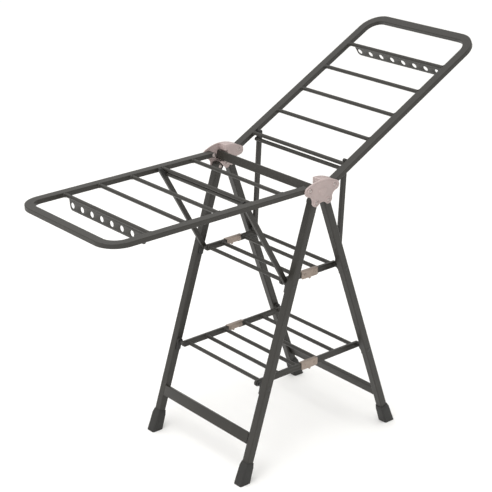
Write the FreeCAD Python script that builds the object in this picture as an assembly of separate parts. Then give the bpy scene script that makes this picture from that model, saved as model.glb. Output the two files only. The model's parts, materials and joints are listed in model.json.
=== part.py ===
import FreeCAD, Part
import math
import os
from FreeCAD import Placement, Rotation, Vector

# Folding clothes drying rack.
#
# Frame: millimetres, +Z up, floor at Z = 0.  X runs along the two wings: the level wing points to -X
# and the raised wing to +X.  Y runs along the hanging rods, with the front at -Y.
# The rack is modelled about its hub, then moved along X so that the origin lies under the
# centre of its bounding box.

# ---- Driving dimensions -------------------------------------------------------------------------
FRAME_SPACING = 470.0        # between the centre planes of the front and back tubes
HUB_HEIGHT = 930.0           # height of the wing pivots
WING_PIVOT_X = 50.0          # wing pivots, each side of the hub centre
LEG_PIVOT_X = 24.0           # leg pivots, each side of the hub centre
LEG_PIVOT_Z = 885.0
LEG_LEAN = 18.5              # degrees from vertical
WING_RAISE = 28.0            # degrees, the raised wing

LEG_DEPTH = 26.0             # leg tube, across the leg in the XZ plane
LEG_WIDTH = 28.0             # leg tube, along Y
TUBE_WALL = 0.8
WING_WIDTH = 30.0            # wing tube, in the plane of the wing
WING_HEIGHT = 16.0           # wing tube, across the plane of the wing
WING_LENGTH = 740.0          # pivot to the outer edge of the end bar
WING_BEND = 60.0             # centre-line radius of the two tip corners
WING_EDGE = 2.5              # rounding of the wing tube's edges

ROD_RADIUS = 6.5
ROD_WALL = 0.6
FIRST_ROD = 85.0             # pivot to the rod nearest the hub
ROD_PITCH = 122.0
RODS_PER_WING = 4
HANGER_ROD = 579.0           # pivot to the rod that carries the hanger strip
HANGER_DEPTH = 42.0          # wing plane to the strip's lower edge
HANGER_HOLES = 8
HANGER_HOLE_RADIUS = 9.5
HANGER_HOLE_PITCH = 52.0
HANGER_HOLE_DROP = 25.0      # wing plane to the hole centres
HANGER_PLATE = 2.0

UPPER_SHELF_Z = 627.0
LOWER_SHELF_Z = 306.0
UPPER_RODS = (104.0, 45.0)            # distance from the centre plane, each half
LOWER_RODS = (202.0, 122.5, 43.0)
CLIP_RIVET_X = 20.0          # rivets of the centre clip, each side of the centre plane
RAIL_HEIGHT = 20.0
RAIL_INNER, RAIL_OUTER = 186.0, 196.0   # the rails' layer, as distances from Y = 0

STRUT_INNER, STRUT_OUTER = 202.0, 214.0   # the struts' layer
STRUT_DEPTH = 16.0           # strut tube, across the strut in the XZ plane
STRUT_TUBE_END = 318.0       # pivot to the end of the strut tube
STRUT_TOP = 356.0            # pivot to the tip of the cap
STRUT_SHOULDER = 336.9       # pivot to the step that catches the rod of the raised wing
STRUT_BAR = (-9.06, 324.5)   # crossbar: off the strut's axis, and along it
LEVEL_STRUT_LEAN = 28.34     # degrees from vertical
RAISED_STRUT_LEAN = 4.24

PIN_RADIUS = 4.0
RIVET_RADIUS = 3.0
RUNNING_CLEARANCE = 0.05     # radial

COVER_PLATE = 5.0            # hub cover thickness
COVER_GAP = 0.5              # between a cover and the wing tube it straddles
COVER_HALF = 58.0            # hub centre to each end of the covers' arched top edge
ARCH_TOP = 956.0
ARCH_RADIUS = 136.0
CORE_LEFT = 3.0              # left side of the block between two covers, clear of the crossbar
ROOF_LEFT, ROOF_UNDERSIDE = -5.0, 936.0   # roof over the crossbar

BRACE_HEIGHT = 36.0          # bottom crossbar, along the leg
BRACE_DEPTH = 14.0
LEFT_BRACE_Z = 138.0
RIGHT_BRACE_Z = 113.0
FOOT_HEIGHT = 72.0

# ---- Derived dimensions -------------------------------------------------------------------------
TUBE_Y = FRAME_SPACING / 2
LEG_INNER_Y = TUBE_Y - LEG_WIDTH / 2
LEG_OUTER_Y = TUBE_Y + LEG_WIDTH / 2
WING_INNER_Y = TUBE_Y - WING_WIDTH / 2
WING_OUTER_Y = TUBE_Y + WING_WIDTH / 2
LEAN_TAN = math.tan(math.radians(LEG_LEAN))
LEAN_COS = math.cos(math.radians(LEG_LEAN))
LEG_LENGTH = LEG_PIVOT_Z / LEAN_COS           # pivot to the floor, along the leg
COVER_INNER_Y = WING_INNER_Y - COVER_GAP - COVER_PLATE
COVER_OUTER_Y = WING_OUTER_Y + COVER_GAP + COVER_PLATE
HEAD = 2.0                                    # height of a rivet head
Y_AXIS = Vector(0, 1, 0)


def leg_x(z):
    """Distance of a leg's centre line from the centre plane, at height z."""
    return LEG_PIVOT_X + (LEG_PIVOT_Z - z) * LEAN_TAN


# ---- Helpers ------------------------------------------------------------------------------------
def block(x0, x1, y0, y1, z0, z1):
    return Part.makeBox(x1 - x0, y1 - y0, z1 - z0, Vector(x0, y0, z0))


def rod_y(x, z, radius, y0, y1):
    """Round bar along Y."""
    return Part.makeCylinder(radius, y1 - y0, Vector(x, y0, z), Y_AXIS)


def hollow_rod(x, z, half_length):
    outside = rod_y(x, z, ROD_RADIUS, -half_length, half_length)
    return outside.cut(rod_y(x, z, ROD_RADIUS - ROD_WALL, -half_length, half_length))


def plate_y(wire, y0, y1):
    """Plate whose outline is a wire in the XZ plane, from y0 to y1."""
    face = Part.Face(wire)
    face.translate(Vector(0, y0, 0))
    return face.extrude(Vector(0, y1 - y0, 0))


def rivet(x, z, radius, head_radius, y0, y1):
    """Rivet along Y that clamps from y0 to y1, with a domed head outside each end."""
    shank = rod_y(x, z, radius, y0, y1)
    for y, way in ((y0, -1), (y1, 1)):
        head = Part.makeCone(head_radius, head_radius * 0.6, HEAD, Vector(x, y, z), Vector(0, way, 0))
        shank = shank.fuse(head)
    return shank.removeSplitter()


def mirror_y(shape):
    return shape.mirror(Vector(0, 0, 0), Y_AXIS)


def both_sides(shape):
    """A back piece and its mirror image at the front, as separate solids of one node."""
    return Part.makeCompound([shape, mirror_y(shape)])


def swung(shape, angle, x, z):
    """Turn a shape built at the origin about +Y, then move it to (x, z)."""
    moved = shape.copy()
    moved.Placement = Placement(Vector(x, 0, z), Rotation(Y_AXIS, angle))
    return moved


def rounded_section(depth, width, radius, z, shift=0.0):
    """Closed wire: a rounded rectangle in a plane of constant z."""
    x0, x1 = shift - depth / 2, shift + depth / 2
    y0, y1 = -width / 2, width / 2
    diagonal = radius * (1 - math.sqrt(0.5))
    corners = ((x1, y1, 1, 1), (x0, y1, -1, 1), (x0, y0, -1, -1), (x1, y0, 1, -1))
    edges = []
    ends = []
    for x, y, sx, sy in corners:
        across = Vector(x, y - sy * radius, z)
        along = Vector(x - sx * radius, y, z)
        middle = Vector(x - sx * diagonal, y - sy * diagonal, z)
        first, last = (across, along) if sx == sy else (along, across)
        edges.append(Part.Arc(first, middle, last).toShape())
        ends.append((first, last))
    for i in range(4):
        start = ends[i][1]
        finish = ends[(i + 1) % 4][0]
        edges.append(Part.LineSegment(start, finish).toShape())
    return Part.Wire(Part.__sortEdges__(edges))


# ---- Leg frames ---------------------------------------------------------------------------------
def leg_tube():
    """One leg, built along Z with the leg pivot at the origin and its outer face at +X."""
    outside = Part.Face(rounded_section(LEG_DEPTH, LEG_WIDTH, 4.0, -LEG_LENGTH - 20))
    tube = outside.extrude(Vector(0, 0, LEG_LENGTH + 20))
    tube = tube.fuse(rod_y(0, 0, LEG_DEPTH / 2, -LEG_WIDTH / 2, LEG_WIDTH / 2))
    inside = Part.Face(rounded_section(LEG_DEPTH - 2 * TUBE_WALL, LEG_WIDTH - 2 * TUBE_WALL, 2.5,
                                       -LEG_LENGTH - 20))
    tube = tube.cut(inside.extrude(Vector(0, 0, LEG_LENGTH - 5)))
    tube = tube.cut(rod_y(0, 0, PIN_RADIUS + RUNNING_CLEARANCE, -LEG_WIDTH, LEG_WIDTH))
    for z in (UPPER_SHELF_Z, LOWER_SHELF_Z):
        along = (LEG_PIVOT_Z - z) / LEAN_COS
        tube = tube.cut(rod_y(0, -along, PIN_RADIUS, -LEG_WIDTH, LEG_WIDTH))
    return tube


def placed_leg(shape, side, y):
    """Lean a leg piece out to its side (-1 or +1) and move it to y."""
    moved = shape.copy()
    if side < 0:
        moved = moved.mirror(Vector(0, 0, 0), Vector(1, 0, 0))
    moved.Placement = Placement(Vector(side * LEG_PIVOT_X, y, LEG_PIVOT_Z),
                                Rotation(Y_AXIS, -side * LEG_LEAN)).multiply(moved.Placement)
    return moved


def below(z):
    """Everything near the rack that lies below height z."""
    return block(-1200, 1200, -600, 600, z - 200, z)


def foot():
    """Moulded foot: a sleeve over the tube, with a sloping shoulder above a wider boot."""
    top = -LEG_LENGTH + FOOT_HEIGHT
    shoulder = top - 14.0
    bottom = -LEG_LENGTH - 20
    upper = Part.makeLoft([rounded_section(29.5, 31.5, 5.0, top),
                           rounded_section(35.5, 36.0, 6.0, shoulder, 1.0)], True, True)
    lower = Part.makeLoft([rounded_section(35.5, 36.0, 6.0, shoulder, 1.0),
                           rounded_section(41.5, 38.0, 6.5, bottom, 2.5)], True, True)
    return upper.fuse(lower).removeSplitter()


def brace(z):
    """Flat bottom crossbar, flush with the outer face of the legs it joins."""
    along = (LEG_PIVOT_Z - z) / LEAN_COS
    outer = LEG_DEPTH / 2
    y = LEG_INNER_Y
    bar = block(outer - BRACE_DEPTH, outer, -y, y, -along - BRACE_HEIGHT / 2, -along + BRACE_HEIGHT / 2)
    long_edges = [e for e in bar.Edges if abs(e.Length - 2 * y) < 0.01]
    bar = bar.makeFillet(2.0, long_edges)
    hollow = block(outer - BRACE_DEPTH + TUBE_WALL, outer - TUBE_WALL, -y, y,
                   -along - BRACE_HEIGHT / 2 + TUBE_WALL, -along + BRACE_HEIGHT / 2 - TUBE_WALL)
    return bar.cut(hollow)


def shelf_bracket(side, z):
    """Moulded plate on the leg's inner face, with a lobe that hangs below the shelf pivot."""
    x = side * leg_x(z)
    y0, y1 = STRUT_OUTER + 0.2, LEG_INNER_Y
    disc = rod_y(x, z, 11.0, y0, y1)
    lobe_x = x + side * 22.0 * LEAN_TAN
    lobe = rod_y(lobe_x, z - 22.0, 8.5, y0, y1)
    web = Part.makePolygon([Vector(x - 10, 0, z), Vector(x + 10, 0, z), Vector(lobe_x + 8, 0, z - 22),
                            Vector(lobe_x - 8, 0, z - 22), Vector(x - 10, 0, z)])
    plate = disc.fuse([lobe, plate_y(web, y0, y1)]).removeSplitter()
    return plate.cut(rod_y(x, z, PIN_RADIUS, y0 - 1, y1 + 1))


def shelf_pin(side, z):
    """Pin through the back leg, with a collar that keeps the strut off the shelf rail.

    At the right legs it stops at its collar, short of the rail: that pivot is left open."""
    x = side * leg_x(z)
    collar_start, collar_end = RAIL_OUTER + 0.2, STRUT_INNER - 0.2
    inner = RAIL_INNER + 1.0 if side < 0 else collar_start
    shank = rod_y(x, z, PIN_RADIUS, inner, LEG_OUTER_Y)
    collar = rod_y(x, z, 7.0, collar_start, collar_end)
    head = Part.makeCone(7.0, 4.5, HEAD, Vector(x, LEG_OUTER_Y, z), Y_AXIS)
    return shank.fuse([collar, head])


def leg_frame(name, side):
    tube = leg_tube()
    sleeve = foot()
    nodes = {}
    for place, y in (("front", -TUBE_Y), ("back", TUBE_Y)):
        leg = placed_leg(tube, side, y).cut(below(8.0))
        nodes[name + "_leg_" + place] = leg
        cap = placed_leg(sleeve, side, y).cut(below(0.0))
        bore = Part.Face(rounded_section(LEG_DEPTH, LEG_WIDTH, 4.0, -LEG_LENGTH - 20))
        bore = placed_leg(bore.extrude(Vector(0, 0, LEG_LENGTH)), side, y).cut(below(8.0))
        nodes[name + "_foot_" + place] = cap.cut(bore)
    brace_z = LEFT_BRACE_Z if side < 0 else RIGHT_BRACE_Z
    nodes[name + "_leg_brace"] = placed_leg(brace(brace_z), side, 0)
    shelves = (UPPER_SHELF_Z, LOWER_SHELF_Z)
    brackets = [both_sides(shelf_bracket(side, z)) for z in shelves]
    pins = [both_sides(shelf_pin(side, z)) for z in shelves]
    nodes[name + "_shelf_brackets"] = Part.makeCompound(brackets)
    nodes[name + "_shelf_pins"] = Part.makeCompound(pins)
    return nodes


# ---- Hub ----------------------------------------------------------------------------------------
def arc(start, middle, end):
    points = [Vector(x, 0, z) for x, z in (start, middle, end)]
    return Part.Arc(*points).toShape()


def line(start, end):
    return Part.LineSegment(Vector(start[0], 0, start[1]), Vector(end[0], 0, end[1])).toShape()


def wire(edges):
    return Part.Wire(Part.__sortEdges__(edges))


def top_arch(x0, x1):
    """The hub's arched top edge from x0 to x1, and its heights at those two places."""
    x_middle = (x0 + x1) / 2
    centre_z = ARCH_TOP - ARCH_RADIUS
    z0, z_middle, z1 = [centre_z + math.sqrt(ARCH_RADIUS ** 2 - x ** 2) for x in (x0, x_middle, x1)]
    return arc((x0, z0), (x_middle, z_middle), (x1, z1)), z0, z1


def outer_outline():
    """Four lobes, one round each pivot, under the arched top edge."""
    arch, z, _ = top_arch(-COVER_HALF, COVER_HALF)
    edges = [arch, arc((20, 872.5), (0, 883), (-20, 872.5))]
    for side in (-1, 1):
        edges.append(arc((side * COVER_HALF, z), (side * 70.6, 928), (side * COVER_HALF, 911)))
        edges.append(arc((side * COVER_HALF, 911), (side * 46.5, 905), (side * 41, 893)))
        edges.append(arc((side * 41, 893), (side * 36.7, 876.5), (side * 20, 872.5)))
    return wire(edges)


def inner_outline():
    """A lobe round the right wing's pivot, and a three-cornered ear between the legs.

    It leaves the left wing's tube bare, and steps round the crossbar."""
    arch, z_left, z_right = top_arch(ROOF_LEFT, COVER_HALF)
    edges = [arch,
             arc((COVER_HALF, z_right), (70.6, 928), (COVER_HALF, 911)),
             line((COVER_HALF, 911), (33, 907)),
             line((33, 907), (6, 878)),
             arc((6, 878), (0, 875.5), (-6, 878))]
    corners = [(-6, 878), (-28, 902), (CORE_LEFT, 902), (CORE_LEFT, ROOF_UNDERSIDE),
               (ROOF_LEFT, ROOF_UNDERSIDE), (ROOF_LEFT, z_left)]
    return wire(edges + [line(start, end) for start, end in zip(corners, corners[1:])])


def hub_pivots():
    """Each pivot's place, and how far from Y = 0 its rivet's inner head sits."""
    bare_wing = WING_INNER_Y - 0.2
    bare_leg = LEG_INNER_Y - 0.2
    return [(WING_PIVOT_X, HUB_HEIGHT, COVER_INNER_Y), (-WING_PIVOT_X, HUB_HEIGHT, bare_wing),
            (LEG_PIVOT_X, LEG_PIVOT_Z, bare_leg), (-LEG_PIVOT_X, LEG_PIVOT_Z, bare_leg)]


def hub_cover(y0, y1, outer):
    """One moulded cover.  The outer one has a raised three-cornered panel."""
    cover = plate_y(outer_outline() if outer else inner_outline(), y0, y1)
    if outer:
        corners = ((-22, 926), (22, 926), (0, 899), (-22, 926))
        panel = plate_y(Part.makePolygon([Vector(x, 0, z) for x, z in corners]), y1 - 0.5, y1 + 1.2)
        panel = panel.makeFillet(4.0, [e for e in panel.Edges if e.BoundBox.YLength > 1.6])
        cover = cover.fuse(panel)
    for x, z, head_y in hub_pivots():
        if head_y < y1:
            cover = cover.cut(rod_y(x, z, PIN_RADIUS, y0 - 1, y1 + 2))
    return cover.removeSplitter()


def hub_core():
    """Moulded block that ties the two covers of a hub together.

    Its arched roof closes the gap between them, and the crossbar passes beside it."""
    arch, z_left, z_right = top_arch(ROOF_LEFT, WING_PIVOT_X)
    corners = [(WING_PIVOT_X, z_right), (WING_PIVOT_X, 942), (34, 942), (34, 906), (CORE_LEFT, 906),
               (CORE_LEFT, ROOF_UNDERSIDE), (ROOF_LEFT, ROOF_UNDERSIDE), (ROOF_LEFT, z_left)]
    edges = [arch] + [line(start, end) for start, end in zip(corners, corners[1:])]
    return plate_y(wire(edges), COVER_INNER_Y + COVER_PLATE, COVER_OUTER_Y - COVER_PLATE)


def hub_crossbar():
    """Flat bar that joins the two hubs' outer covers, tilted with the left legs."""
    half = COVER_OUTER_Y - COVER_PLATE
    bar = block(-5, 5, -half, half, -14, 14)
    bar = bar.makeFillet(2.0, [e for e in bar.Edges if abs(e.Length - 2 * half) < 0.01])
    bar = bar.cut(block(-3.5, 3.5, -half, half, -12.5, 12.5))
    return swung(bar, LEG_LEAN, -11, 919)


def hub():
    inner = hub_cover(COVER_INNER_Y, COVER_INNER_Y + COVER_PLATE, False)
    outer = hub_cover(COVER_OUTER_Y - COVER_PLATE, COVER_OUTER_Y, True)
    rivets = [rivet(x, z, PIN_RADIUS, 6.5, y, COVER_OUTER_Y) for x, z, y in hub_pivots()]
    return {"hub_cover_front_outer": mirror_y(outer),
            "hub_cover_front_inner": mirror_y(inner),
            "hub_cover_back_outer": outer,
            "hub_cover_back_inner": inner,
            "hub_cores": both_sides(hub_core()),
            "hub_crossbar": hub_crossbar(),
            "hub_rivets": both_sides(Part.makeCompound(rivets))}


# ---- Wings: built with the pivot at the origin, pointing to +X ------------------------------------
def wing_outline(inset):
    """The U-shaped band of the wing tube, in the plane Z = 0, with its walls moved in by inset."""
    outer_y, inner_y = WING_OUTER_Y - inset, WING_INNER_Y + inset
    outer_x, inner_x = WING_LENGTH - inset, WING_LENGTH - WING_WIDTH + inset
    centre_x = WING_LENGTH - WING_WIDTH / 2 - WING_BEND
    centre_y = TUBE_Y - WING_BEND
    start = 0.0 if inset == 0 else 30.0
    half = math.sqrt(0.5)
    edges = []
    for y, x in ((outer_y, outer_x), (inner_y, inner_x)):
        radius = y - centre_y
        for side in (-1, 1):
            bend = (Vector(centre_x, side * y, 0),
                    Vector(centre_x + radius * half, side * (centre_y + radius * half), 0),
                    Vector(x, side * centre_y, 0))
            edges.append(Part.Arc(*bend).toShape())
            edges.append(Part.LineSegment(Vector(start, side * y, 0), bend[0]).toShape())
        edges.append(Part.LineSegment(Vector(x, -centre_y, 0), Vector(x, centre_y, 0)).toShape())
    for side in (-1, 1):
        edges.append(Part.LineSegment(Vector(start, side * inner_y, 0),
                                      Vector(start, side * outer_y, 0)).toShape())
    return Part.Face(Part.Wire(Part.__sortEdges__(edges)))


def wing_tube():
    face = wing_outline(0.0)
    face.translate(Vector(0, 0, -WING_HEIGHT / 2))
    tube = face.extrude(Vector(0, 0, WING_HEIGHT))
    rims = [e for e in tube.Edges if e.BoundBox.ZLength < 0.01 and e.BoundBox.XMax > 1.0]
    tube = tube.makeFillet(WING_EDGE, rims)
    for side in (-1, 1):
        y0, y1 = sorted((side * WING_INNER_Y, side * WING_OUTER_Y))
        tube = tube.fuse(rod_y(0, 0, WING_HEIGHT / 2, y0, y1))
    hollow = wing_outline(TUBE_WALL)
    hollow.translate(Vector(0, 0, -WING_HEIGHT / 2 + TUBE_WALL))
    tube = tube.cut(hollow.extrude(Vector(0, 0, WING_HEIGHT - 2 * TUBE_WALL)))
    return tube.cut(rod_y(0, 0, PIN_RADIUS + RUNNING_CLEARANCE, -300, 300))


def hanger_strip():
    """Plate under the hanger rod, with rounded lower corners and a row of holes for hangers."""
    half_top, half_bottom, corner = 200.0, 195.0, 14.0
    x0, x1 = HANGER_ROD - HANGER_PLATE / 2, HANGER_ROD + HANGER_PLATE / 2
    top, bottom = -4.0, -HANGER_DEPTH
    outline = [Vector(x0, -half_top, top), Vector(x0, half_top, top), Vector(x0, half_bottom, bottom),
               Vector(x0, -half_bottom, bottom), Vector(x0, -half_top, top)]
    strip = Part.Face(Part.makePolygon(outline)).extrude(Vector(x1 - x0, 0, 0))
    lower = [e for e in strip.Edges if e.BoundBox.XLength > 1 and e.BoundBox.ZMax < bottom + 1]
    strip = strip.makeFillet(corner, lower)
    for i in range(HANGER_HOLES):
        y = (i - (HANGER_HOLES - 1) / 2) * HANGER_HOLE_PITCH
        hole = Part.makeCylinder(HANGER_HOLE_RADIUS, 10, Vector(x0 - 3, y, -HANGER_HOLE_DROP), Vector(1, 0, 0))
        strip = strip.cut(hole)
    return strip.cut(rod_y(HANGER_ROD, 0, ROD_RADIUS, -300, 300))


def wing(name, side, raise_angle):
    pieces = {"_wing_tube": wing_tube(),
              "_hanger_rod": hollow_rod(HANGER_ROD, 0, WING_INNER_Y),
              "_hanger_strip": hanger_strip()}
    for i in range(RODS_PER_WING):
        pieces["_wing_rod_%d" % (i + 1)] = hollow_rod(FIRST_ROD + i * ROD_PITCH, 0, WING_INNER_Y)
    nodes = {}
    for suffix, shape in pieces.items():
        raised = swung(shape, -raise_angle, WING_PIVOT_X, HUB_HEIGHT)
        if side < 0:
            raised = raised.mirror(Vector(0, 0, 0), Vector(1, 0, 0))
        nodes[name + suffix] = raised
    return nodes


# ---- Struts: built along Z with the pivot at the origin, outer side at +X --------------------------
def strut_tube():
    half = STRUT_DEPTH / 2
    tube = block(-half, half, STRUT_INNER, STRUT_OUTER, 0, STRUT_TUBE_END)
    tube = tube.makeFillet(1.5, [e for e in tube.Edges if e.BoundBox.ZLength > 100])
    tube = tube.fuse(rod_y(0, 0, half, STRUT_INNER, STRUT_OUTER))
    wall = TUBE_WALL
    tube = tube.cut(block(wall - half, half - wall, STRUT_INNER + wall, STRUT_OUTER - wall, 14,
                          STRUT_TUBE_END))
    return tube.cut(rod_y(0, 0, PIN_RADIUS + RUNNING_CLEARANCE, STRUT_INNER - 1, STRUT_OUTER + 1))


def strut_cap():
    """Moulded end cap: a step on its inner side catches a rod, and a boss holds the crossbar."""
    half = STRUT_DEPTH / 2
    neck = half - 4.0
    bend = STRUT_TOP - 6.0
    corners = [(-neck, bend), (-neck, STRUT_SHOULDER), (-half, STRUT_SHOULDER), (-half, STRUT_TUBE_END),
               (half, STRUT_TUBE_END), (half, bend)]
    edges = [arc((half, bend), ((half - neck) / 2, STRUT_TOP), (-neck, bend))]
    edges += [line(start, end) for start, end in zip(corners, corners[1:])]
    cap = plate_y(Part.Wire(Part.__sortEdges__(edges)), STRUT_INNER, STRUT_OUTER)
    boss = rod_y(STRUT_BAR[0], STRUT_BAR[1], ROD_RADIUS, STRUT_INNER, STRUT_OUTER)
    return cap.fuse(boss).removeSplitter()


def strut(name, side, lean, pivot_z):
    bar = hollow_rod(STRUT_BAR[0], STRUT_BAR[1], STRUT_INNER)
    pieces = {"_strut_back": strut_tube(),
              "_strut_front": mirror_y(strut_tube()),
              "_strut_caps": both_sides(strut_cap()),
              "_strut_bar": bar}
    nodes = {}
    for suffix, shape in pieces.items():
        leaned = swung(shape, lean, leg_x(pivot_z), pivot_z)
        if side < 0:
            leaned = leaned.mirror(Vector(0, 0, 0), Vector(1, 0, 0))
        nodes[name + suffix] = leaned
    return nodes


# ---- Shelves ------------------------------------------------------------------------------------
def shelf_rail(side, z):
    """Back rail of one half: a flat bar with round ends, from the leg pin to the clip rivet."""
    leg_end, clip_end = side * leg_x(z), side * CLIP_RIVET_X
    x0, x1 = sorted((leg_end, clip_end))
    radius = RAIL_HEIGHT / 2
    rail = block(x0, x1, RAIL_INNER, RAIL_OUTER, z - radius, z + radius)
    ends = [rod_y(x, z, radius, RAIL_INNER, RAIL_OUTER) for x in (x0, x1)]
    rail = rail.fuse(ends).removeSplitter()
    for x, hole in ((leg_end, PIN_RADIUS), (clip_end, RIVET_RADIUS)):
        rail = rail.cut(rod_y(x, z, hole + RUNNING_CLEARANCE, RAIL_INNER - 1, RAIL_OUTER + 1))
    return rail


def clip(z):
    """Folded sheet clip over the back rails' meeting ends, which stops the shelf when it is flat."""
    sheet, gap, half = 1.5, 0.2, 35.0
    top = z + RAIL_HEIGHT / 2 + gap
    low = z - RAIL_HEIGHT / 2 - 4.0
    outer_y, inner_y = RAIL_OUTER + gap, RAIL_INNER - gap
    skin = block(-half, half, inner_y - sheet, outer_y + sheet, top, top + sheet)
    outer = block(-half, half, outer_y, outer_y + sheet, low, top)
    corners = [e for e in outer.Edges if e.BoundBox.YLength > 1 and e.BoundBox.ZMax < low + 1]
    outer = outer.makeFillet(6.0, corners)
    tab = rod_y(0, low, 5.0, outer_y, outer_y + sheet)
    inner = block(-30, 30, inner_y - sheet, inner_y, z - 7, top)
    shape = skin.fuse([outer, tab, inner]).removeSplitter()
    for x in (-CLIP_RIVET_X, CLIP_RIVET_X):
        shape = shape.cut(rod_y(x, z, RIVET_RADIUS, inner_y - 5, outer_y + 5))
    return shape


def clip_rivets(z):
    y0, y1 = RAIL_INNER - 1.7, RAIL_OUTER + 1.7
    return Part.makeCompound([rivet(x, z, RIVET_RADIUS, 4.5, y0, y1) for x in (-CLIP_RIVET_X, CLIP_RIVET_X)])


def shelf(name, z, rods):
    nodes = {name + "_clips": both_sides(clip(z)),
             name + "_clip_rivets": both_sides(clip_rivets(z))}
    for half, side in (("left", -1), ("right", 1)):
        rail = shelf_rail(side, z)
        nodes["%s_%s_rail_back" % (name, half)] = rail
        nodes["%s_%s_rail_front" % (name, half)] = mirror_y(rail)
        bars = [hollow_rod(side * x, z, RAIL_INNER) for x in rods]
        nodes["%s_%s_rods" % (name, half)] = Part.makeCompound(bars)
    return nodes


# ---- Assembly -----------------------------------------------------------------------------------
def build():
    nodes = hub()
    nodes.update(leg_frame("left", -1))
    nodes.update(leg_frame("right", 1))
    nodes.update(wing("left", -1, 0.0))
    nodes.update(wing("right", 1, WING_RAISE))
    nodes.update(strut("left", -1, LEVEL_STRUT_LEAN, UPPER_SHELF_Z))
    nodes.update(strut("right", 1, RAISED_STRUT_LEAN, UPPER_SHELF_Z))
    nodes.update(shelf("upper", UPPER_SHELF_Z, UPPER_RODS))
    nodes.update(shelf("lower", LOWER_SHELF_Z, LOWER_RODS))
    return nodes


def origin_shift():
    """Moves the hub centre off X = 0, so that the origin is under the middle of the whole rack."""
    angle = math.radians(WING_RAISE)
    level_reach = WING_PIVOT_X + WING_LENGTH
    edge_x = (WING_LENGTH - WING_EDGE) * math.cos(angle)
    edge_z = (WING_HEIGHT / 2 - WING_EDGE) * math.sin(angle)
    raised_reach = WING_PIVOT_X + edge_x + edge_z + WING_EDGE
    return (level_reach - raised_reach) / 2


def main():
    os.makedirs("parts", exist_ok=True)
    shift = Vector(origin_shift(), 0, 0)
    nodes = build()
    for name, shape in nodes.items():
        moved = shape.copy()
        moved.translate(shift)
        solids = moved.Solids
        volume = sum(s.Volume for s in solids)
        print("%-26s solids %d  valid %s  volume %.0f" % (name, len(solids), moved.isValid(), volume))
        result = solids[0] if len(solids) == 1 else Part.makeCompound(solids)
        result.exportStep("parts/%s.step" % name)
    print("nodes", len(nodes), "origin shift", round(shift.x, 3))


main()
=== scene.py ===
import json
import math
import random

import bmesh
import bpy
from mathutils import Matrix, Vector


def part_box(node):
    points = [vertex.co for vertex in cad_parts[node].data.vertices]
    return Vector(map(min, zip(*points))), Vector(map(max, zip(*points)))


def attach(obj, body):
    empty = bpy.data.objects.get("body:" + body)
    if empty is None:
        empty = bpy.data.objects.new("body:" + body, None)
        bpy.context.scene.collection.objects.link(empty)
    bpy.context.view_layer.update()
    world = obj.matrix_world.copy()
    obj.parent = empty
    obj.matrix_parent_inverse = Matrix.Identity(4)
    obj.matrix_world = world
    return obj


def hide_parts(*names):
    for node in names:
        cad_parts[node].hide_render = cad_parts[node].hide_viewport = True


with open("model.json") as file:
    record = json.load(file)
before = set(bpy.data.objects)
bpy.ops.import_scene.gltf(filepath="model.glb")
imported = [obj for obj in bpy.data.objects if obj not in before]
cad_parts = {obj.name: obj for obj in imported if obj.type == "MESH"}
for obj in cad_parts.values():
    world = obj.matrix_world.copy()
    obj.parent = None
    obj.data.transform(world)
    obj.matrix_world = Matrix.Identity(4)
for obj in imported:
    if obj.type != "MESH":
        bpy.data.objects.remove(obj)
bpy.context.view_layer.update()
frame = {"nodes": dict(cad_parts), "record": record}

random.seed(20)

MM = 0.001
NODES = frame["nodes"]
SLOT_OF = {row["node"]: row["material_slot"] for row in frame["record"]["subparts"]}
BODIES = frame["record"]["behaviour"]["bodies"]
BODY_OF = {node: body for body, names in BODIES.items() for node in names}
MERGE_DISTANCE = 2e-6        # m, vertices nearer than this are one
FLAT_ANGLE = 0.6             # degrees, faces that meet at less are joined up
ROUNDED_ANGLE = 32.0         # degrees, edges whose faces meet at more are rounded

# ---- Camera and studio ---------------------------------------------------------------------------
CAMERA_PLACE = Vector((-2.7826, -3.3363, 2.4105))
CAMERA_AZIMUTH, CAMERA_ELEVATION, CAMERA_ROLL = -39.24, 21.81, -0.846     # degrees
CAMERA_LENS = 105.2                                                       # mm, on a 36 mm sensor


def make_camera():
    data = bpy.data.cameras.new("camera")
    data.sensor_width = 36.0
    data.lens = CAMERA_LENS
    data.dof.use_dof = False
    camera = bpy.data.objects.new("camera", data)
    bpy.context.scene.collection.objects.link(camera)
    a, e, r = (math.radians(v) for v in (CAMERA_AZIMUTH, CAMERA_ELEVATION, CAMERA_ROLL))
    back = Vector((math.sin(a) * math.cos(e), -math.cos(a) * math.cos(e), math.sin(e)))
    right = Vector((math.cos(a), math.sin(a), 0))
    up = back.cross(right)
    rolled_right = right * math.cos(r) + up * math.sin(r)
    rolled_up = up * math.cos(r) - right * math.sin(r)
    turn = Matrix((rolled_right, rolled_up, back)).transposed()
    camera.matrix_world = Matrix.Translation(CAMERA_PLACE) @ turn.to_4x4()
    bpy.context.scene.camera = camera


def area_light(name, place, target, size, power):
    data = bpy.data.lights.new(name, "AREA")
    data.shape = "RECTANGLE"
    data.size = data.size_y = size
    data.energy = power
    light = bpy.data.objects.new(name, data)
    bpy.context.scene.collection.objects.link(light)
    light.location = place
    light.rotation_euler = (Vector(target) - Vector(place)).to_track_quat("-Z", "Y").to_euler()


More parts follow.
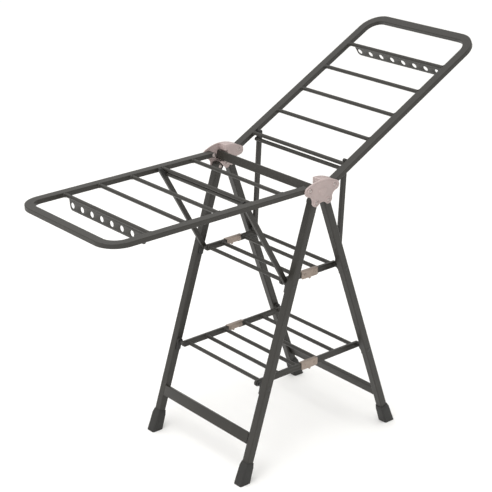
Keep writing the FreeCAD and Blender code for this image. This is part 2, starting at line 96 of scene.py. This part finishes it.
def make_studio():
    scene = bpy.context.scene
    scene.view_settings.view_transform = "Standard"
    world = bpy.data.worlds.new("studio")
    scene.world = world
    world.use_nodes = True
    tree = world.node_tree
    background = tree.nodes["Background"]
    coords = tree.nodes.new("ShaderNodeTexCoord")
    axes = tree.nodes.new("ShaderNodeSeparateXYZ")
    link(tree, coords, "Generated", axes, "Vector")
    height = remap(tree, axes, "Z", 0.0, 1.0, -0.15, 0.9)
    side = remap(tree, axes, "X", 1.0, 0.0, -0.8, 0.8)
    lit = tree.nodes.new("ShaderNodeMath")
    lit.operation = "MULTIPLY_ADD"
    tree.links.new(side.outputs[0], lit.inputs[0])
    lit.inputs[1].default_value = 0.35
    tree.links.new(height.outputs[0], lit.inputs[2])
    sky = blend_colours(tree, lit, 0, (0.34, 0.335, 0.325), (1.22, 1.215, 1.20))
    tree.links.new(sky.outputs[MIX_RESULT], background.inputs["Color"])
    background.inputs["Strength"].default_value = 1.0
    area_light("key", (-1.8, -0.6, 4.4), (0, 0, 0.5), 2.4, 70)
    area_light("side", (-4.2, -1.6, 2.2), (0, 0, 0.7), 2.0, 14)
    bm = bmesh.new()
    bmesh.ops.create_grid(bm, x_segments=1, y_segments=1, size=40)
    mesh = bpy.data.meshes.new("floor")
    bm.to_mesh(mesh)
    bm.free()
    floor = bpy.data.objects.new("floor", mesh)
    scene.collection.objects.link(floor)
    material = bpy.data.materials.new("floor")
    material.use_nodes = True
    shader = material.node_tree.nodes["Principled BSDF"]
    shader.inputs["Base Color"].default_value = (0.93, 0.925, 0.915, 1)
    shader.inputs["Roughness"].default_value = 0.7
    shader.inputs["Specular IOR Level"].default_value = 0.2
    mesh.materials.append(material)


# ---- Materials -----------------------------------------------------------------------------------
def shader_tree(name):
    material = bpy.data.materials.new(name)
    material.use_nodes = True
    tree = material.node_tree
    return material, tree, tree.nodes["Principled BSDF"]


def link(tree, source, socket, target, name):
    tree.links.new(source.outputs[socket], target.inputs[name])


def noise(tree, coords, scale, detail=3.0, roughness=0.5, stretch=None):
    node = tree.nodes.new("ShaderNodeTexNoise")
    node.inputs["Scale"].default_value = scale
    node.inputs["Detail"].default_value = detail
    node.inputs["Roughness"].default_value = roughness
    if stretch is None:
        link(tree, coords, "Object", node, "Vector")
        return node
    mapping = tree.nodes.new("ShaderNodeMapping")
    mapping.inputs["Scale"].default_value = stretch
    link(tree, coords, "Object", mapping, "Vector")
    link(tree, mapping, "Vector", node, "Vector")
    return node


def remap(tree, source, socket, low, high, from_low=0.0, from_high=1.0):
    node = tree.nodes.new("ShaderNodeMapRange")
    node.inputs["From Min"].default_value = from_low
    node.inputs["From Max"].default_value = from_high
    node.inputs["To Min"].default_value = low
    node.inputs["To Max"].default_value = high
    link(tree, source, socket, node, "Value")
    return node


MIX_FIRST, MIX_SECOND, MIX_RESULT = 6, 7, 2     # colour sockets of a mix node


def blend_colours(tree, factor, socket, first, second):
    node = tree.nodes.new("ShaderNodeMix")
    node.data_type = "RGBA"
    node.inputs[MIX_FIRST].default_value = (*first, 1)
    node.inputs[MIX_SECOND].default_value = (*second, 1)
    tree.links.new(factor.outputs[socket], node.inputs[0])
    return node


WEAR_SPREAD = 0.014          # how far above flat the pointiness of a worn edge starts


def edge_wear(tree, grain):
    """A mask that is 1 on worn patches of convex edges, broken up by a noise."""
    geometry = tree.nodes.new("ShaderNodeNewGeometry")
    edge = remap(tree, geometry, "Pointiness", 0.0, 1.0, 0.5 + WEAR_SPREAD, 0.5 + WEAR_SPREAD * 4)
    patch = remap(tree, grain, "Fac", 0.0, 1.0, 0.5, 0.68)
    both = tree.nodes.new("ShaderNodeMath")
    both.operation = "MULTIPLY"
    both.use_clamp = True
    tree.links.new(edge.outputs[0], both.inputs[0])
    tree.links.new(patch.outputs[0], both.inputs[1])
    return both


def bumps(tree, shader, layers):
    """Chain of bump nodes: (texture node, socket, strength, distance in metres)."""
    previous = None
    for texture, socket, strength, distance in layers:
        bump = tree.nodes.new("ShaderNodeBump")
        bump.inputs["Strength"].default_value = strength
        bump.inputs["Distance"].default_value = distance
        tree.links.new(texture.outputs[socket], bump.inputs["Height"])
        if previous is not None:
            tree.links.new(previous.outputs["Normal"], bump.inputs["Normal"])
        previous = bump
    tree.links.new(previous.outputs["Normal"], shader.inputs["Normal"])


def powder_coat():
    """Satin powder coat: orange-peel texture, faint mottling and a little dust."""
    material, tree, shader = shader_tree("powder_coat")
    coords = tree.nodes.new("ShaderNodeTexCoord")
    mottle = noise(tree, coords, 9.0, 4.0, 0.6)
    grain = noise(tree, coords, 240.0, 2.0, 0.6)
    peel = noise(tree, coords, 900.0, 2.0, 0.5)
    base = blend_colours(tree, mottle, "Fac", (0.0150, 0.0134, 0.0104), (0.0245, 0.0222, 0.0180))
    dust = remap(tree, noise(tree, coords, 34.0, 5.0, 0.65), "Fac", 0.0, 0.5, 0.60, 0.78)
    dusty = blend_colours(tree, dust, 0, (0, 0, 0), (0.048, 0.044, 0.037))
    tree.links.new(base.outputs[MIX_RESULT], dusty.inputs[MIX_FIRST])
    tree.links.new(dusty.outputs[MIX_RESULT], shader.inputs["Base Color"])
    rough = remap(tree, grain, "Fac", 0.36, 0.52)
    tree.links.new(rough.outputs[0], shader.inputs["Roughness"])
    shader.inputs["Specular IOR Level"].default_value = 0.5
    bumps(tree, shader, ((peel, "Fac", 0.16, 0.0003), (grain, "Fac", 0.05, 0.0004)))
    return material


def moulded_plastic(name, dark, light, rough_low, rough_high, grain_scale, depth):
    material, tree, shader = shader_tree(name)
    coords = tree.nodes.new("ShaderNodeTexCoord")
    mottle = noise(tree, coords, 26.0, 4.0, 0.55)
    grain = noise(tree, coords, grain_scale, 2.0, 0.6)
    colour = blend_colours(tree, mottle, "Fac", dark, light)
    worn = tuple(v * 1.35 for v in light)
    rubbed = blend_colours(tree, edge_wear(tree, grain), 0, (0, 0, 0), worn)
    tree.links.new(colour.outputs[MIX_RESULT], rubbed.inputs[MIX_FIRST])
    tree.links.new(rubbed.outputs[MIX_RESULT], shader.inputs["Base Color"])
    rough = remap(tree, mottle, "Fac", rough_low, rough_high)
    tree.links.new(rough.outputs[0], shader.inputs["Roughness"])
    bumps(tree, shader, ((grain, "Fac", 0.25, depth),))
    return material


def brushed_metal(name, dark, light, rough_low, rough_high, stretch):
    material, tree, shader = shader_tree(name)
    coords = tree.nodes.new("ShaderNodeTexCoord")
    brush = noise(tree, coords, 60.0, 5.0, 0.7, stretch)
    stain = noise(tree, coords, 40.0, 3.0, 0.5)
    colour = blend_colours(tree, brush, "Fac", dark, light)
    aged = blend_colours(tree, remap(tree, stain, "Fac", 0.0, 0.35, 0.45, 0.8), 0, (0, 0, 0),
                         tuple(v * 0.6 for v in dark))
    tree.links.new(colour.outputs[MIX_RESULT], aged.inputs[MIX_FIRST])
    tree.links.new(aged.outputs[MIX_RESULT], shader.inputs["Base Color"])
    rough = remap(tree, brush, "Fac", rough_low, rough_high)
    tree.links.new(rough.outputs[0], shader.inputs["Roughness"])
    shader.inputs["Metallic"].default_value = 0.85
    bumps(tree, shader, ((brush, "Fac", 0.12, 0.0003),))
    return material


MATERIALS = {
    "frame_paint": powder_coat(),
    "hub_plastic": moulded_plastic("hub_plastic", (0.345, 0.275, 0.262), (0.41, 0.335, 0.322), 0.34, 0.48,
                                   420.0, 0.0003),
    "black_plastic": moulded_plastic("black_plastic", (0.009, 0.009, 0.008), (0.017, 0.016, 0.014),
                                     0.5, 0.66, 700.0, 0.0004),
    "clip_steel": brushed_metal("clip_steel", (0.26, 0.212, 0.18), (0.38, 0.318, 0.275), 0.30, 0.48,
                                (0.15, 1.0, 3.0)),
    "rivet_steel": brushed_metal("rivet_steel", (0.34, 0.29, 0.28), (0.52, 0.46, 0.44), 0.3, 0.5,
                                 (1.0, 1.0, 1.0)),
    "rivet_black": moulded_plastic("rivet_black", (0.016, 0.016, 0.015), (0.034, 0.032, 0.03), 0.3, 0.5,
                                   500.0, 0.0003),
}


# ---- Mesh helpers --------------------------------------------------------------------------------
def add_piece(name, bm, body, slot, smooth_angle=35.0):
    mesh = bpy.data.meshes.new(name)
    bmesh.ops.recalc_face_normals(bm, faces=bm.faces)
    bm.to_mesh(mesh)
    bm.free()
    mesh.materials.append(MATERIALS[slot])
    mesh.shade_smooth()
    mesh.set_sharp_from_angle(angle=math.radians(smooth_angle))
    piece = bpy.data.objects.new(name, mesh)
    bpy.context.scene.collection.objects.link(piece)
    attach(piece, body)
    return piece


def merged_copy(node):
    """The CAD node's mesh as one closed bmesh with flat faces joined up."""
    bm = bmesh.new()
    bm.from_mesh(NODES[node].data)
    bmesh.ops.remove_doubles(bm, verts=bm.verts, dist=MERGE_DISTANCE)
    bmesh.ops.dissolve_limit(bm, angle_limit=math.radians(FLAT_ANGLE), verts=bm.verts, edges=bm.edges)
    return bm


def soften(bm, width):
    """Round every edge whose faces meet at more than ROUNDED_ANGLE."""
    limit = math.radians(ROUNDED_ANGLE)
    edges = [e for e in bm.edges if e.is_manifold and e.calc_face_angle(0) > limit]
    bmesh.ops.bevel(bm, geom=edges, offset=width, offset_type="OFFSET", segments=2, profile=0.5,
                    affect="EDGES", clamp_overlap=True)


def refine(node, width):
    """Stand-in for a CAD node with its machined edges rounded."""
    bm = merged_copy(node)
    soften(bm, width)
    piece = add_piece(node + "_finished", bm, BODY_OF[node], SLOT_OF[node])
    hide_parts(node)


def lathe(bm, profile, origin, axis, around=24, wobble=0.0):
    """Surface of revolution: profile is (radius, distance along axis) in mm, closed at radius 0."""
    axis = Vector(axis).normalized()
    side = axis.orthogonal().normalized()
    other = axis.cross(side)
    rings = []
    for radius, along in profile:
        centre = Vector(origin) + axis * along * MM
        if radius == 0:
            rings.append([bm.verts.new(centre)])
            continue
        ring = []
        for i in range(around):
            turn = 2 * math.pi * i / around
            r = (radius + wobble * random.uniform(-1, 1)) * MM
            ring.append(bm.verts.new(centre + side * r * math.cos(turn) + other * r * math.sin(turn)))
        rings.append(ring)
    for first, second in zip(rings, rings[1:]):
        for i in range(around):
            j = (i + 1) % around
            corners = [first[i % len(first)], first[j % len(first)], second[j % len(second)],
                       second[i % len(second)]]
            unique = list(dict.fromkeys(corners))
            if len(unique) > 2:
                bm.faces.new(unique)


def finish_cad_nodes():
    for name, node in NODES.items():
        material = MATERIALS[SLOT_OF[name]]
        if not node.material_slots:
            node.data.materials.append(material)
        for place in node.material_slots:
            place.material = material


def islands(node):
    """Boxes (low, high), in metres, of the separate solids of a CAD node."""
    bm = bmesh.new()
    bm.from_mesh(NODES[node].data)
    bmesh.ops.remove_doubles(bm, verts=bm.verts, dist=MERGE_DISTANCE)
    unseen = set(bm.verts)
    found = []
    while unseen:
        stack = [unseen.pop()]
        low, high = stack[0].co.copy(), stack[0].co.copy()
        while stack:
            vert = stack.pop()
            low = Vector(map(min, low, vert.co))
            high = Vector(map(max, high, vert.co))
            for edge in vert.link_edges:
                other = edge.other_vert(vert)
                if other in unseen:
                    unseen.remove(other)
                    stack.append(other)
        found.append((low, high))
    bm.free()
    return sorted(found, key=lambda box: tuple(box[0]))


# ---- Rivets and welds ----------------------------------------------------------------------------
def dome(radius, height):
    """Half profile of a rivet head with a small set-down in its middle, from its centre outwards."""
    rows = ((0.0, 0.72), (0.16, 0.72), (0.24, 0.98), (0.38, 0.97), (0.6, 0.8), (0.8, 0.52), (0.95, 0.2),
            (1.0, 0.0))
    return [(radius * r, height * h) for r, h in rows]


def rivet(bm, x, z, y0, y1, radius, head_radius, head_height, heads=(True, True)):
    """Rivet along +Y between y0 and y1 (all in mm), with a domed head at either or both ends."""
    length = y1 - y0
    head = dome(head_radius, head_height)
    start = [(r, -h) for r, h in head] if heads[0] else [(0, 0)]
    end = [(r, length + h) for r, h in reversed(head)] if heads[1] else [(0, length)]
    lathe(bm, start + [(radius, 0), (radius, length)] + end, (x * MM, y0 * MM, z * MM), (0, 1, 0), 28)


def rivets_of(node, radius, head_radius, head_height):
    """Domed rivets in the places of a CAD node's rivets."""
    bm = bmesh.new()
    for low, high in islands(node):
        x, z = (low.x + high.x) / 2 / MM, (low.z + high.z) / 2 / MM
        y0, y1 = low.y / MM + head_height, high.y / MM - head_height
        rivet(bm, x, z, y0, y1, radius, head_radius, head_height)
    piece = add_piece(node + "_domed", bm, BODY_OF[node], SLOT_OF[node])
    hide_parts(node)


def weld_ring(bm, x, z, y, way, radius):
    """Bead of weld round a rod where it meets a tube or rail.  way is +1 at the rod's +Y end."""
    rows = ((-0.15, 2.9), (0.35, 2.7), (0.9, 1.9), (1.7, 0.9), (2.5, 0.25), (2.6, -0.2), (-0.15, -0.2))
    profile = [(radius + out, -way * back) for out, back in rows]
    profile.append(profile[0])
    lathe(bm, profile, (x * MM, y * MM, z * MM), (0, 1, 0), 26, wobble=0.14)


def welds(name, nodes, body):
    bm = bmesh.new()
    for node in nodes:
        for low, high in islands(node):
            x, z = (low.x + high.x) / 2 / MM, (low.z + high.z) / 2 / MM
            weld_ring(bm, x, z, high.y / MM, 1, (high.z - low.z) / 2 / MM)
            weld_ring(bm, x, z, low.y / MM, -1, (high.z - low.z) / 2 / MM)
    return add_piece(name, bm, body, "frame_paint", 60.0)


# ---- Hub covers ----------------------------------------------------------------------------------
def arc_points(start, middle, end, count):
    """Points along the circle through three points (x, z), without the last one."""
    ax, az, bx, bz = middle[0] - start[0], middle[1] - start[1], end[0] - start[0], end[1] - start[1]
    d = 2 * (ax * bz - az * bx)
    ux = (bz * (ax * ax + az * az) - az * (bx * bx + bz * bz)) / d
    uz = (ax * (bx * bx + bz * bz) - bx * (ax * ax + az * az)) / d
    cx, cz = start[0] + ux, start[1] + uz
    a0, a1, a2 = (math.atan2(p[1] - cz, p[0] - cx) for p in (start, middle, end))
    sweep = (a2 - a0) % (2 * math.pi)
    if (a1 - a0) % (2 * math.pi) > sweep:
        sweep -= 2 * math.pi
    radius = math.hypot(ux, uz)
    angles = [a0 + sweep * i / count for i in range(count)]
    return [(cx + radius * math.cos(a), cz + radius * math.sin(a)) for a in angles]


# In mm, with X from the hub's centre line.
COVER_HALF, ARCH_TOP, ARCH_RADIUS = 58.0, 956.0, 136.0     # the covers' arched top edge
COVER_BACK, COVER_FACE = 250.5, 255.5                      # the outer cover, as distances from Y = 0
HUB_PIVOTS = ((-50, 930), (50, 930), (-24, 885), (24, 885))
PANEL_CORNERS = ((-22, 926), (22, 926), (0, 899))
PANEL_ROUNDING = 5.0
EAR_RIVET_Z = 891


def outer_cover_outline():
    """Clockwise outline in mm about the hub's centre line, from the left end of the top arch."""
    end_z = ARCH_TOP - ARCH_RADIUS + math.sqrt(ARCH_RADIUS ** 2 - COVER_HALF ** 2)
    ends = (-COVER_HALF, end_z), (COVER_HALF, end_z)
    right = ((ends[1], (70.6, 928), (58, 911), 16), ((58, 911), (46.5, 905), (41, 893), 8),
             ((41, 893), (36.7, 876.5), (20, 872.5), 10))
    points = arc_points(ends[0], (0, ARCH_TOP), ends[1], 30)
    for start, middle, end, count in right:
        points += arc_points(start, middle, end, count)
    points += arc_points((20, 872.5), (0, 883), (-20, 872.5), 12)
    for start, middle, end, count in reversed(right):
        flipped = [(-x, z) for x, z in (end, middle, start)]
        points += arc_points(*flipped, count)
    return points


def inset(points, distance):
    """The outline moved inwards along its corners' normals."""
    moved = []
    count = len(points)
    for i in range(count):
        before, here, after = Vector(points[i - 1]), Vector(points[i]), Vector(points[(i + 1) % count])
        first, second = (here - before).normalized(), (after - here).normalized()
        normal = Vector((first.y + second.y, -first.x - second.x)).normalized()
        moved.append(tuple(here + normal * distance))
    return moved


def layered_plate(bm, outline, layers, hub_x, way):
    """Closed plate from layers (inset, y), the visible face last.  way is -1 at the front."""
    rings = []
    for distance, y in layers:
        ring = inset(outline, distance) if distance else outline
        rings.append([bm.verts.new(((x + hub_x) * MM, way * y * MM, z * MM)) for x, z in ring])
    count = len(outline)
    for first, second in zip(rings, rings[1:]):
        for i in range(count):
            j = (i + 1) % count
            bm.faces.new((first[i], first[j], second[j], second[i]))
    bm.faces.new(rings[0])
    bm.faces.new(rings[-1])


def rounded_polygon(corners, radius, count=6):
    """Polygon (clockwise) with its corners rounded."""
    points = []
    total = len(corners)
    for i in range(total):
        before, here = Vector(corners[i - 1]), Vector(corners[i])
        after = Vector(corners[(i + 1) % total])
        first, second = (before - here).normalized(), (after - here).normalized()
        half = first.angle(second) / 2
        reach = min(radius / math.tan(half), (before - here).length * 0.45,
                    (after - here).length * 0.45)
        start, end = here + first * reach, here + second * reach
        for k in range(count + 1):
            t = k / count
            points.append(tuple(start * (1 - t) ** 2 + here * 2 * t * (1 - t) + end * t ** 2))
    return points


def hub_centre_x(node):
    box_low, box_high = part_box(node)
    return (box_low.x + box_high.x) / 2 / MM


def hub_outer_cover(node, way):
    """Outer cover with a rounded rim, a groove inside it, rivet bosses and a plain raised panel."""
    hub_x = hub_centre_x(node)
    face = COVER_FACE
    bm = bmesh.new()
    rim = [(0.0, COVER_BACK), (0.0, face - 2.2), (0.25, face - 1.2), (0.9, face - 0.4), (2.0, face),
           (4.2, face), (4.7, face - 0.5), (5.3, face - 0.5), (5.8, face)]
    layered_plate(bm, outer_cover_outline(), rim, hub_x, way)
    boss = [(0, -0.4), (10.2, -0.4), (10.0, 1.0), (9.4, 1.7), (8.7, 1.85), (8.0, 1.6), (7.6, 0.8),
            (7.4, 0.1), (0, 0.1)]
    for x, z in HUB_PIVOTS:
        lathe(bm, boss, ((x + hub_x) * MM, way * face * MM, z * MM), (0, way, 0), 32)
    edge = [(0.0, face - 0.3), (0.0, face + 0.8), (0.3, face + 1.3), (0.9, face + 1.5)]
    layered_plate(bm, rounded_polygon(PANEL_CORNERS, PANEL_ROUNDING), edge, hub_x, way)
    piece = add_piece(node + "_moulded", bm, "root", "hub_plastic", 50.0)
    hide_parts(node)


def ear_rivets():
    """The small rivet in the lower ear of each inner cover."""
    hub_x = hub_centre_x("hub_cover_front_outer")
    bm = bmesh.new()
    rivet(bm, hub_x, EAR_RIVET_Z, 213.3, 214.6, 3.0, 4.6, 1.2, (True, False))
    rivet(bm, hub_x, EAR_RIVET_Z, -214.6, -213.3, 3.0, 4.6, 1.2, (False, True))
    add_piece("hub_ear_rivets", bm, "root", "rivet_steel")


# Word in a CAD node's name, and the rounding of its edges in metres.
ROUNDING = (("rail", 0.0007), ("clips", 0.0004), ("brace", 0.0003), ("hanger_strip", 0.0003),
            ("caps", 0.0008), ("brackets", 0.0007), ("inner", 0.0010), ("cores", 0.0006), ("foot", 0.0008))


make_camera()
make_studio()
finish_cad_nodes()
for node in NODES:
    for word, width in ROUNDING:
        if word in node:
            refine(node, width)
hub_outer_cover("hub_cover_front_outer", -1)
hub_outer_cover("hub_cover_back_outer", 1)
ear_rivets()
rivets_of("hub_rivets", 4.0, 6.5, 2.0)
for node in ("upper_clip_rivets", "lower_clip_rivets"):
    rivets_of(node, 3.0, 4.5, 2.0)
for side in ("left", "right"):
    rods = [f"{side}_wing_rod_{i}" for i in (1, 2, 3, 4)] + [side + "_hanger_rod"]
    welds(side + "_wing_welds", rods, side + "_wing")
    for level in ("upper", "lower"):
        welds(f"{level}_{side}_welds", [f"{level}_{side}_rods"], f"{level}_{side}_half")
